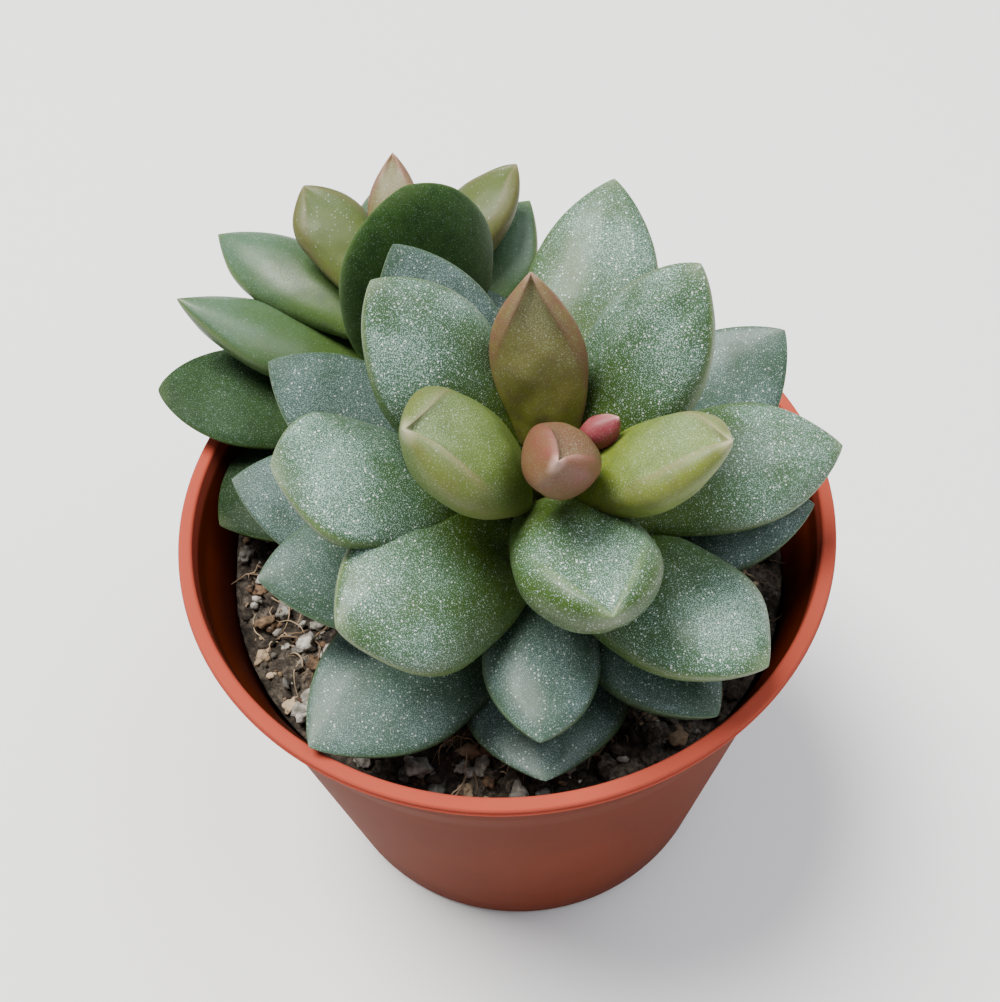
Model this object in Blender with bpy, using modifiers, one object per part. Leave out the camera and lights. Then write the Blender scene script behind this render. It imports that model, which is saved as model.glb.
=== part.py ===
"""Potted succulent: two leafy rosettes on short stems, in soil, in a small round nursery pot.

Metres, +Z up. The origin is the middle of the pot's flat base, and the front of the object faces -Y.
"""

import math
from collections import namedtuple

import bmesh
import bpy
from mathutils import Euler, Matrix, Vector, noise

MM = 0.001

# Pot, in millimetres.
POT_HEIGHT = 44.0
RIM_RADIUS = 27.5
RIM_WIDTH = 1.25
RIM_DEPTH = 0.8
WALL = 0.8
COLLAR_RADIUS = 26.6
COLLAR_FOOT = 39.4
COLLAR_STEP = 0.7
BASE_RADIUS = 21.0
FLOOR = 1.2
DRAIN_COUNT = 5
DRAIN_RADIUS = 2.2
DRAIN_RING = 12.5
TURN_STEPS = 56

# Soil, in millimetres.
SOIL_TOP = 37.0
SOIL_STEPS = 36
SOIL_RINGS = 7
SOIL_ROUGHNESS = 1.1

GAP = 0.3
STEM_RADIUS = 2.0
STEM_TIP = 1.5
STEM_TAPER = 6.0
STEM_ROOT = 24.0

# A leaf's own proportions.
LEAF_SEGMENTS = 12
LEAF_RINGS = 10
WIDEST = 0.58
NECK_WIDTH = 0.3
NECK_DEPTH = 0.36
DEEPEST = 0.45
UPPER_SHARE = 0.38
BASE_CAP = 0.06

Leaf = namedtuple("Leaf", "name height heading rise length width depth bend twist point")

# Leaves from the growing tip down. Height is up the stem from the soil, heading runs counter-clockwise from +X
# and rise is above level, all in the rosette's own leaning frame. Millimetres and degrees.
MAIN_LEAVES = (
    Leaf("01", 24.7, 266, 72, 9.4, 5, 4.6, -0.05, -8, 1.7),
    Leaf("02", 24.4, 5, 50, 3.6, 2.2, 2, 0.08, 0, 1.7),
    Leaf("03", 21.4, 192, 55, 12.3, 9.5, 5.1, -0.05, -12, 1.6),
    Leaf("04", 20.9, 339, 48, 13.7, 8.1, 4.4, 0.02, 2, 1.8),
    Leaf("05", 20.2, 94, 61, 14.6, 6.7, 3.5, 0.15, -16, 1.6),
    Leaf("06", 18.8, 281, 36, 13.9, 9.7, 5.7, -0.05, -4, 1.6),
    Leaf("07", 17.5, 142, 49, 19, 9.2, 4, 0.02, -7, 2),
    Leaf("08", 16.6, 38, 55, 19.8, 8.8, 4.1, 0.07, -4, 2),
    Leaf("09", 16.2, 8, 1, 20.5, 8.9, 3.7, 0.02, 13, 2.1),
    Leaf("10", 16.1, 74, 14, 23.8, 9.5, 3.7, 0.09, -1, 2),
    Leaf("11", 14.8, 187, 42, 20.9, 11, 4.1, -0.05, 5, 2),
    Leaf("12", 12.2, 315, 20, 18.3, 9.9, 4.7, -0.05, -6, 1.9),
    Leaf("13", 11.9, 127, 48, 23.3, 8.8, 2.9, 0.08, -4, 2.1),
    Leaf("14", 11.5, 216, 28, 18.4, 9.9, 4.3, 0.05, -22, 1.5),
    Leaf("15", 10.6, 158, 33, 23.4, 8.5, 2.8, 0.1, -6, 1.8),
    Leaf("16", 9.8, 264, 13, 15.9, 7.5, 4, 0.06, -4, 1.6),
    Leaf("17", 9.8, 193, 13, 20.5, 8.6, 2.9, 0.11, -6, 1.8),
    Leaf("18", 8, 100, 18, 20, 8.9, 3.1, 0.05, 0, 1.9),
    Leaf("19", 7.5, 305, 11, 17.5, 7.9, 3.8, 0.06, -11, 1.7),
    Leaf("20", 7.5, 32, 29, 23.5, 9.5, 2.7, 0.08, 10, 2.1),
    Leaf("21", 5.7, 1, 16, 19.9, 7.5, 3.6, 0.07, -4, 1.8),
    Leaf("22", 5.5, 172, 25, 23.9, 9.6, 2.7, 0.03, -3, 2.1),
    Leaf("23", 4.6, 221, 16, 22.6, 10.2, 2.8, -0.02, -4, 2),
    Leaf("24", 4.5, 56, 31, 21, 8.3, 2.8, 0.08, 4, 2),
    Leaf("25", 2.8, 132, 4, 18, 9.6, 3.6, 0.05, 0, 1.9),
    Leaf("26", 2.3, 266, 20, 17.6, 11, 2.9, 0, 4, 1.8),
    Leaf("27", 2.6, 70, 5, 20, 9.5, 3.5, 0.05, 0, 1.9),
)
SIDE_LEAVES = (
    Leaf("01", 20, 215, 84, 5.5, 3.4, 2.4, 0.05, 0, 1.7),
    Leaf("02", 18, 84, 33, 10.5, 5.2, 3, 0.05, 0, 1.7),
    Leaf("03", 16.5, 32, 28, 13.4, 7.2, 3.8, 0.04, 0, 1.8),
    Leaf("04", 15.8, 127, 36, 11.8, 6.8, 3.4, 0.04, 0, 1.8),
    Leaf("05", 12.5, 147, 20, 18.2, 7.1, 3.6, 0, -5, 1.7),
    Leaf("06", 12.4, 94, 32, 13.6, 7.4, 3.2, 0, 0, 1.8),
    Leaf("07", 10.9, 34, 29, 15, 9.4, 3.5, 0.06, 4, 1.9),
    Leaf("08", 9.5, 300, 70, 21.6, 12.2, 3.6, 0.12, -1, 2.3),
    Leaf("09", 8.8, 115, 29, 14, 6.6, 2.5, 0, 0, 1.8),
    Leaf("10", 7.6, 176, 29, 19.8, 7.9, 3.4, 0.09, -1, 1.6),
    Leaf("11", 4.7, 92, 34, 15, 7, 2.6, 0, 0, 1.8),
    Leaf("12", 4.9, 188, 20, 21.2, 10.2, 2.8, 0.03, -15, 2),
    Leaf("13", 8, 66, 30, 13.6, 6.6, 2.6, 0, 0, 1.8),
    Leaf("14", 2.5, 217, 7, 19.6, 12.6, 4, -0.02, -8, 2.1),
)

MAIN = {"name": "main", "foot": (2.6, -4.5), "lean": (10.0, 2.0), "stem": 24.5, "leaves": MAIN_LEAVES}
SIDE = {"name": "side", "foot": (-6.6, 13.2), "lean": (-7.0, -5.0), "stem": 19.0, "leaves": SIDE_LEAVES}

COLOURS = {
    "terracotta": (0.46, 0.13, 0.075),
    "peat": (0.045, 0.028, 0.02),
    "bark": (0.16, 0.15, 0.07),
    "old leaf": (0.1, 0.17, 0.15),
    "green leaf": (0.12, 0.2, 0.1),
    "young leaf": (0.27, 0.3, 0.1),
    "red bud": (0.4, 0.13, 0.1),
}


def clear_scene():
    for item in list(bpy.data.objects):
        bpy.data.objects.remove(item, do_unlink=True)
    for mesh in list(bpy.data.meshes):
        bpy.data.meshes.remove(mesh)


def collection_for(name):
    made = bpy.data.collections.new(name)
    bpy.context.scene.collection.children.link(made)
    return made


def own_material(name, colour, roughness):
    """A plain material of the node's own."""
    material = bpy.data.materials.new(name)
    material.use_nodes = True
    shader = material.node_tree.nodes["Principled BSDF"]
    shader.inputs["Base Color"].default_value = (*COLOURS[colour], 1.0)
    shader.inputs["Roughness"].default_value = roughness
    return material


def finish(item, collection, material, parent=None):
    collection.objects.link(item)
    item.data.materials.append(material)
    if parent:
        item.parent = parent
    return item


def object_from(name, work):
    """Turn a bmesh into a named object, with its faces pointing outward."""
    bmesh.ops.recalc_face_normals(work, faces=work.faces[:])
    mesh = bpy.data.meshes.new(name)
    work.to_mesh(mesh)
    work.free()
    return bpy.data.objects.new(name, mesh)


def turned(name, profile, steps):
    """Spin a side profile of (radius, height) pairs in millimetres about the upright axis."""
    work = bmesh.new()
    corners = [work.verts.new((radius * MM, 0.0, height * MM)) for radius, height in profile]
    for first, second in zip(corners, corners[1:]):
        work.edges.new((first, second))
    mesh = bpy.data.meshes.new(name)
    work.to_mesh(mesh)
    work.free()
    item = bpy.data.objects.new(name, mesh)
    screw = item.modifiers.new("turn", "SCREW")
    screw.steps = steps
    screw.render_steps = steps
    screw.use_merge_vertices = True
    screw.merge_threshold = 0.00001
    screw.use_normal_calculate = True
    return item


def cut(item, cutter, collection):
    """Take a hidden cutter's shape out of an object."""
    cutter.hide_render = True
    cutter.display_type = "WIRE"
    collection.objects.link(cutter)
    tool = item.modifiers.new(cutter.name, "BOOLEAN")
    tool.operation = "DIFFERENCE"
    tool.solver = "EXACT"
    tool.object = cutter


def rod(name, radius, low, high, steps=20):
    """An upright cylinder, for cutting."""
    work = bmesh.new()
    bmesh.ops.create_cone(
        work,
        cap_ends=True,
        segments=steps,
        radius1=radius * MM,
        radius2=radius * MM,
        depth=(high - low) * MM,
        matrix=Matrix.Translation((0.0, 0.0, 0.5 * (low + high) * MM)),
    )
    return object_from(name, work)


def build_pot(cutters):
    """A thin moulded pot: rolled rim, shallow collar, tapering wall and a floor with drain holes."""
    inner = [
        (0.0, FLOOR),
        (BASE_RADIUS - WALL - 0.6, FLOOR),
        (BASE_RADIUS - WALL, FLOOR + 0.8),
        (COLLAR_RADIUS - COLLAR_STEP - WALL, COLLAR_FOOT - 0.3),
        (COLLAR_RADIUS - WALL, COLLAR_FOOT + 0.5),
        (RIM_RADIUS - RIM_WIDTH, POT_HEIGHT - 0.5),
        (RIM_RADIUS - RIM_WIDTH + 0.4, POT_HEIGHT),
    ]
    outer = [
        (RIM_RADIUS - 0.4, POT_HEIGHT),
        (RIM_RADIUS, POT_HEIGHT - 0.4),
        (RIM_RADIUS, POT_HEIGHT - RIM_DEPTH + 0.2),
        (RIM_RADIUS - 0.2, POT_HEIGHT - RIM_DEPTH),
        (COLLAR_RADIUS, POT_HEIGHT - RIM_DEPTH),
        (COLLAR_RADIUS - 0.3, COLLAR_FOOT),
        (COLLAR_RADIUS - COLLAR_STEP, COLLAR_FOOT - 0.4),
        (BASE_RADIUS, 0.5),
        (BASE_RADIUS - 0.5, 0.0),
        (0.0, 0.0),
    ]
    profile = (inner + outer)
    pot = turned("pot", profile, TURN_STEPS)
    for index in range(DRAIN_COUNT):
        hole = rod(f"drain_cutter_{index + 1}", DRAIN_RADIUS, -2.0, FLOOR + 2.0)
        turn = math.tau * (index + 0.25) / DRAIN_COUNT
        hole.location = (DRAIN_RING * MM * math.cos(turn), DRAIN_RING * MM * math.sin(turn), 0.0)
        cut(pot, hole, cutters)
    return pot


def inner_radius(height):
    """The pot's inside radius at a height, in millimetres."""
    low, high = FLOOR + 0.8, COLLAR_FOOT - 0.3
    share = min(max((height - low) / (high - low), 0.0), 1.0)
    return BASE_RADIUS - WALL + share * (COLLAR_RADIUS - COLLAR_STEP - BASE_RADIUS)


def build_soil(rosettes, cutters):
    """Soil filling the pot from its floor, with an uneven top and a hole for each stem."""
    low, high = FLOOR + GAP, SOIL_TOP
    work = bmesh.new()
    bottom = inner_radius(FLOOR + 0.8) - 0.6 - GAP
    rings = [(bottom, low), (bottom + 0.6, low + 1.4)]
    levels = (0.35, 0.7, 1.0)
    for level in levels:
        height = low + level * (high - low) - 1.0
        rings.append((inner_radius(height) - GAP - 0.15, height))
    loops = []
    for radius, height in rings:
        loop = []
        for step in range(SOIL_STEPS):
            turn = math.tau * step / SOIL_STEPS
            loop.append(work.verts.new((radius * MM * math.cos(turn), radius * MM * math.sin(turn), height * MM)))
        loops.append(loop)
    edge = rings[-1][0]
    for ring in range(1, SOIL_RINGS + 1):
        radius = edge * (1.0 - ring / (SOIL_RINGS + 1.0))
        loop = []
        for step in range(SOIL_STEPS):
            turn = math.tau * step / SOIL_STEPS
            place = Vector((radius * math.cos(turn), radius * math.sin(turn), 0.0))
            lump = noise.noise(place * 0.19 + Vector((4.0, 2.0, 7.0))) * SOIL_ROUGHNESS
            lump += noise.noise(place * 0.45) * 0.35 * SOIL_ROUGHNESS
            loop.append(work.verts.new((place.x * MM, place.y * MM, (high + lump) * MM)))
        loops.append(loop)
    for lower, upper in zip(loops, loops[1:]):
        for step in range(SOIL_STEPS):
            after = (step + 1) % SOIL_STEPS
            work.faces.new((lower[step], lower[after], upper[after], upper[step]))
    work.faces.new(loops[0])
    work.faces.new(loops[-1])
    soil = object_from("soil", work)
    for rosette in rosettes:
        hole = rod(f"stem_cutter_{rosette['name']}", STEM_RADIUS + GAP, STEM_ROOT - GAP - SOIL_TOP, 12.0, 16)
        hole.parent = rosette["root"]
        cut(soil, hole, cutters)
    return soil


def build_stem(rosette):
    """A short round stem that stands in the soil and narrows to the growing tip."""
    top = rosette["stem"]
    low = STEM_ROOT - SOIL_TOP
    profile = [
        (0.0, top),
        (0.6 * STEM_TIP, top - 0.2),
        (STEM_TIP, top - 0.8),
        (0.5 * (STEM_TIP + STEM_RADIUS), top - 0.5 * STEM_TAPER),
        (STEM_RADIUS, top - STEM_TAPER),
        (STEM_RADIUS, low + 1.5),
        (STEM_RADIUS - 0.8, low + 0.3),
        (STEM_RADIUS - 1.2, low),
        (0.0, low),
    ]
    return turned(f"{rosette['name']}_stem", profile, 16)


def smooth(share):
    share = min(max(share, 0.0), 1.0)
    return share * share * (3.0 - 2.0 * share)


def swell(share, peak, neck, power):
    """How wide or deep a leaf is along its length: a slender neck, a full belly and a pointed end."""
    if share < peak:
        return neck + (1.0 - neck) * math.sin(0.5 * math.pi * share / peak)
    return 1.0 - ((share - peak) / (1.0 - peak)) ** power


def leaf_point(leaf, share, turn):
    """A point on a leaf's skin, in millimetres: x runs to the tip and z out of the upper face."""
    cap = min(1.0, math.sqrt(share / BASE_CAP))
    half = 0.5 * leaf.width * cap * swell(share, WIDEST, NECK_WIDTH, leaf.point)
    rise = math.sin(turn)
    belly = leaf.depth * (UPPER_SHARE if rise >= 0.0 else 1.0 - UPPER_SHARE)
    belly *= cap * swell(share, DEEPEST, NECK_DEPTH, 2.0 if rise >= 0.0 else 2.6)
    edge = 0.8 * smooth((share - 0.35) / 0.5)
    lens = (1.0 - edge) * abs(rise) + edge * rise * rise
    along = share * leaf.length
    return Vector((along, half * math.cos(turn), math.copysign(belly * lens, rise) + leaf.bend * along * share))


def build_leaf(rosette, leaf):
    """A plump pointed leaf, shaped from a ball: a pole at its base and a pole at its tip."""
    work = bmesh.new()
    bmesh.ops.create_uvsphere(
        work, u_segments=LEAF_SEGMENTS, v_segments=LEAF_RINGS, radius=1.0,
        matrix=Euler((0.0, math.pi / 2.0, 0.0)).to_matrix().to_4x4(),
    )
    for corner in work.verts:
        share = 0.5 * (1.0 + corner.co.x)
        turn = math.atan2(corner.co.z, corner.co.y)
        corner.co = leaf_point(leaf, min(max(share, 0.0), 1.0), turn) * MM
    item = object_from(f"{rosette['name']}_leaf_{leaf.name}", work)
    heading = math.radians(leaf.heading)
    reach = (STEM_RADIUS + GAP) * MM
    item.location = (reach * math.cos(heading), reach * math.sin(heading), leaf.height * MM)
    item.rotation_euler = (math.radians(leaf.twist), -math.radians(leaf.rise), heading)
    return item


def leaf_colour(rosette, leaf):
    if leaf.length < 9.0:
        return "red bud"
    if leaf.height > rosette["stem"] - 6.6:
        return "young leaf"
    return "green leaf" if leaf.height > 0.45 * rosette["stem"] else "old leaf"


def build():
    clear_scene()
    cutters = collection_for("cutters")
    vessel = collection_for("pot")
    filling = collection_for("soil")
    for rosette in (MAIN, SIDE):
        root = bpy.data.objects.new(f"{rosette['name']}_foot", None)
        root.location = (rosette["foot"][0] * MM, rosette["foot"][1] * MM, SOIL_TOP * MM)
        root.rotation_euler = (math.radians(rosette["lean"][0]), math.radians(rosette["lean"][1]), 0.0)
        bpy.context.scene.collection.objects.link(root)
        rosette["root"] = root
    finish(build_pot(cutters), vessel, own_material("terracotta_plastic", "terracotta", 0.45))
    finish(build_soil((MAIN, SIDE), cutters), filling, own_material("peat_soil", "peat", 0.95))
    for rosette in (MAIN, SIDE):
        grown = collection_for(f"{rosette['name']}_rosette")
        stem = build_stem(rosette)
        finish(stem, grown, own_material(f"{stem.name}_bark", "bark", 0.7), rosette["root"])
        for leaf in rosette["leaves"]:
            item = build_leaf(rosette, leaf)
            skin = own_material(f"{item.name}_skin", leaf_colour(rosette, leaf), 0.55)
            finish(item, grown, skin, rosette["root"])


build()
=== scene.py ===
import math
import random

import bmesh
import bpy
from mathutils import Matrix, Vector, noise


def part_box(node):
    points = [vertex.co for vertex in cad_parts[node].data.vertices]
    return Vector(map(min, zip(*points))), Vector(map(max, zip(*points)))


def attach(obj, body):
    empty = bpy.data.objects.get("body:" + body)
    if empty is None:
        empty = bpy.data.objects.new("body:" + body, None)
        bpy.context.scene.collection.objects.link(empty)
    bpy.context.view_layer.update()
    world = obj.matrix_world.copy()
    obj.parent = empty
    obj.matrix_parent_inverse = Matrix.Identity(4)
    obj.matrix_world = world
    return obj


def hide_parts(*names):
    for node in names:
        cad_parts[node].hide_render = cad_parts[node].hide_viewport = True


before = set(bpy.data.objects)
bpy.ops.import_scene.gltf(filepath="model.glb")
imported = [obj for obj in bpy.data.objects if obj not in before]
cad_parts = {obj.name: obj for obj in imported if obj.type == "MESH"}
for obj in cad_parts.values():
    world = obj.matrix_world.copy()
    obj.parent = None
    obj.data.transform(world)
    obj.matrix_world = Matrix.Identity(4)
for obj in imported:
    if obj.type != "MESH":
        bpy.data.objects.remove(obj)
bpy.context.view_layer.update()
mm = 0.001
perMm = 1 / mm  # texture scale for features one millimetre across
chance = random.Random(11)


def hexColour(text):
    channels = []
    for start in (0, 2, 4):
        value = int(text[start:start + 2], 16) / 255
        channels.append(value / 12.92 if value <= 0.04045 else ((value + 0.055) / 1.055) ** 2.4)
    return (*channels, 1.0)


def smooth(value, low=0.0, high=1.0):
    share = min(max((value - low) / (high - low), 0.0), 1.0)
    return share * share * (3 - 2 * share)


def addNode(tree, kind, inputs=None, output=0, **settings):
    # inputs go by socket name or number: a socket is linked, anything else is set
    node = tree.nodes.new(kind)
    for name, value in settings.items():
        setattr(node, name, value)
    for key, value in (inputs or {}).items():
        if isinstance(value, bpy.types.NodeSocket):
            tree.links.new(value, node.inputs[key])
        else:
            node.inputs[key].default_value = value
    return node.outputs[output]


# settings that many nodes share
softRange = {"interpolation_type": "SMOOTHSTEP"}
product = {"operation": "MULTIPLY"}
cappedSum = {"operation": "ADD", "use_clamp": True}
colourMix = {"data_type": "RGBA", "output": 2}


def newMaterial(name, roughness, ior):
    material = bpy.data.materials.new(name)
    material.use_nodes = True
    shader = material.node_tree.nodes["Principled BSDF"]
    shader.inputs["Roughness"].default_value = roughness
    shader.inputs["IOR"].default_value = ior
    return material, material.node_tree, shader


def makeObject(name, work, material):
    bmesh.ops.recalc_face_normals(work, faces=work.faces[:])
    mesh = bpy.data.meshes.new(name)
    work.to_mesh(mesh)
    work.free()
    return linkMesh(name, mesh, material)


def linkMesh(name, mesh, material):
    mesh.materials.append(material)
    mesh.polygons.foreach_set("use_smooth", [True] * len(mesh.polygons))
    item = bpy.data.objects.new(name, mesh)
    bpy.context.scene.collection.objects.link(item)
    return item


def stand(item, nodes):
    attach(item, "root")
    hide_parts(nodes)
    return item


def turned(profile, steps):
    # turns a profile about the upright axis, welding what meets on the axis
    work = bmesh.new()
    chain = [work.verts.new((x, 0.0, z)) for x, z in profile]
    edges = [work.edges.new(pair) for pair in zip(chain, chain[1:])]
    bmesh.ops.spin(
        work, geom=chain + edges, cent=(0, 0, 0), axis=(0, 0, 1), angle=math.tau, steps=steps, use_merge=True,
    )
    bmesh.ops.remove_doubles(work, verts=work.verts[:], dist=0.001 * mm)
    bmesh.ops.holes_fill(work, edges=[edge for edge in work.edges if edge.is_boundary], sides=0)
    return work


# moulded polypropylene: IOR about 1.49, satin; painted light makes the rim paler than the body, and painted
# shade darkens the inside below the rim
terracotta = {
    "colour": "64260A", "dark": "5C2108", "rim": "A24636", "film": "35100A", "dust": "6E3216", "roughness": 0.6,
    "gleam": 0.05, "rimFrom": 42.2 * mm, "rimTo": 42.9 * mm, "filmTop": 44.6 * mm, "filmFoot": 42.2 * mm,
}
potMaterial, tree, shader = newMaterial("mouldedPolypropylene", terracotta["roughness"], 1.49)
coords = addNode(tree, "ShaderNodeTexCoord", output="Object")
mottle = addNode(tree, "ShaderNodeTexNoise", {"Vector": coords, "Scale": perMm / 14, "Detail": 3.0})
mottle = addNode(tree, "ShaderNodeMapRange", {0: mottle, 1: 0.35, 2: 0.7}, **softRange)
skin = addNode(tree, "ShaderNodeMix", {
    0: mottle, 6: hexColour(terracotta["dark"]), 7: hexColour(terracotta["colour"]),
}, **colourMix)
dust = addNode(tree, "ShaderNodeTexNoise", {
    "Vector": coords, "Scale": perMm / 1.3, "Detail": 5.0, "Roughness": 0.65,
})
dust = addNode(tree, "ShaderNodeMapRange", {0: dust, 1: 0.58, 2: 0.8, 4: 0.25}, **softRange)
skin = addNode(tree, "ShaderNodeMix", {0: dust, 6: skin, 7: hexColour(terracotta["dust"])}, **colourMix)
height = addNode(tree, "ShaderNodeSeparateXYZ", {0: coords}, output="Z")
# painted light: the rim is painted paler than the body below it, as light falling on its top
paintedRimLight = addNode(tree, "ShaderNodeMapRange", {
    0: height, 1: terracotta["rimFrom"], 2: terracotta["rimTo"],
}, **softRange)
skin = addNode(tree, "ShaderNodeMix", {0: paintedRimLight, 6: skin, 7: hexColour(terracotta["rim"])}, **colourMix)
# painted shade: the inside wall is painted dark below the rim, with a ragged upper edge
ragged = addNode(tree, "ShaderNodeTexNoise", {"Vector": coords, "Scale": perMm / 4, "Detail": 4.0})
ragged = addNode(tree, "ShaderNodeMath", {0: ragged, 1: 2.5 * mm, 2: height}, operation="MULTIPLY_ADD")
ragged = addNode(tree, "ShaderNodeMapRange", {
    0: ragged, 1: terracotta["filmTop"], 2: terracotta["filmFoot"], 4: 0.85,
}, **softRange)
inside = addNode(tree, "ShaderNodeAttribute", output="Fac", attribute_name="inside")
film = addNode(tree, "ShaderNodeMath", {0: inside, 1: ragged}, **product)
skin = addNode(tree, "ShaderNodeMix", {0: film, 6: skin, 7: hexColour(terracotta["film"])}, **colourMix)
tree.links.new(skin, shader.inputs["Base Color"])
grain = addNode(tree, "ShaderNodeTexNoise", {"Vector": coords, "Scale": perMm / 0.5, "Detail": 3.0})
bump = addNode(tree, "ShaderNodeBump", {"Height": grain, "Distance": 0.01 * mm})
tree.links.new(bump, shader.inputs["Normal"])
shader.inputs["Specular IOR Level"].default_value = terracotta["gleam"]
shader.inputs["Subsurface Weight"].default_value = 0.05
shader.inputs["Subsurface Radius"].default_value = (1.0, 0.3, 0.18)
shader.inputs["Subsurface Scale"].default_value = 1.0 * mm

# moist sphagnum peat: dark and very rough, crumbs about half a millimetre, drying to grey-brown in patches
peat = {"wetDark": "1D1814", "wetPale": "4A4036", "dryDark": "332C26", "dryPale": "857A6C", "roughness": 0.88}
peatMaterial, tree, shader = newMaterial("moistPeat", peat["roughness"], 1.4)
coords = addNode(tree, "ShaderNodeTexCoord", output="Object")
crumb = addNode(tree, "ShaderNodeTexNoise", {
    "Vector": coords, "Scale": perMm / 0.55, "Detail": 6.0, "Roughness": 0.7,
})
crumb = addNode(tree, "ShaderNodeMapRange", {0: crumb, 1: 0.35, 2: 0.7}, **softRange)
wet = addNode(tree, "ShaderNodeMix", {
    0: crumb, 6: hexColour(peat["wetDark"]), 7: hexColour(peat["wetPale"]),
}, **colourMix)
dry = addNode(tree, "ShaderNodeMix", {
    0: crumb, 6: hexColour(peat["dryDark"]), 7: hexColour(peat["dryPale"]),
}, **colourMix)
patch = addNode(tree, "ShaderNodeTexNoise", {"Vector": coords, "Scale": perMm / 3.2, "Detail": 3.0})
patch = addNode(tree, "ShaderNodeMapRange", {0: patch, 1: 0.4, 2: 0.7}, **softRange)
shade = addNode(tree, "ShaderNodeMix", {0: patch, 6: wet, 7: dry}, **colourMix)
tree.links.new(shade, shader.inputs["Base Color"])
pits = addNode(tree, "ShaderNodeTexNoise", {
    "Vector": coords, "Scale": perMm / 0.4, "Detail": 6.0, "Roughness": 0.7,
})
bump = addNode(tree, "ShaderNodeBump", {"Height": pits, "Distance": 0.35 * mm})
tree.links.new(bump, shader.inputs["Normal"])


def grainyMaterial(name, looks):
    # dark and pale in streaks of one grain size, pitted; where "other" is given, some grains lean to it
    material, tree, shader = newMaterial(name, looks["roughness"], looks["ior"])
    coords = addNode(tree, "ShaderNodeTexCoord", output="Object")
    grain = addNode(tree, "ShaderNodeTexNoise", {
        "Vector": coords, "Scale": perMm / looks["grain"], "Detail": looks["detail"],
        "Roughness": looks["broken"],
    })
    grain = addNode(tree, "ShaderNodeMapRange", {0: grain, 1: 0.35, 2: looks["paleFrom"]}, **softRange)
    shade = addNode(tree, "ShaderNodeMix", {
        0: grain, 6: hexColour(looks["dark"]), 7: hexColour(looks["pale"]),
    }, **colourMix)
    if "other" in looks:
        tint = addNode(tree, "ShaderNodeAttribute", output="Fac", attribute_name="tint")
        shade = addNode(tree, "ShaderNodeMix", {0: tint, 6: shade, 7: hexColour(looks["other"])}, **colourMix)
    tree.links.new(shade, shader.inputs["Base Color"])
    pits = addNode(tree, "ShaderNodeTexNoise", {
        "Vector": coords, "Scale": perMm / looks["pit"], "Detail": looks["detail"],
    })
    bump = addNode(tree, "ShaderNodeBump", {"Height": pits, "Distance": looks["pitDepth"] * mm})
    tree.links.new(bump, shader.inputs["Normal"])
    return material


# expanded volcanic glass: chalky, off-white to grey, pitted
perliteMaterial = grainyMaterial("expandedPerlite", {
    "roughness": 0.8, "ior": 1.5, "grain": 0.9, "detail": 4.0, "broken": 0.6, "paleFrom": 0.72,
    "dark": "6F6A62", "pale": "C4C0B6", "other": "4A4843", "pit": 0.25, "pitDepth": 0.12,
})
# composted bark and coir: dry and brown, some of it straw-coloured
barkMaterial = grainyMaterial("compostedBark", {
    "roughness": 0.85, "ior": 1.4, "grain": 0.5, "detail": 5.0, "broken": 0.7, "paleFrom": 0.7,
    "dark": "3A2A1E", "pale": "7A6048", "other": "B29C80", "pit": 0.3, "pitDepth": 0.1,
})
# corky green-brown skin of a succulent stem
stemMaterial = grainyMaterial("succulentStemCork", {
    "roughness": 0.7, "ior": 1.4, "grain": 1.1, "detail": 4.0, "broken": 0.5, "paleFrom": 0.7,
    "dark": "3B3D20", "pale": "6A6636", "pit": 0.5, "pitDepth": 0.1,
})


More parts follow.
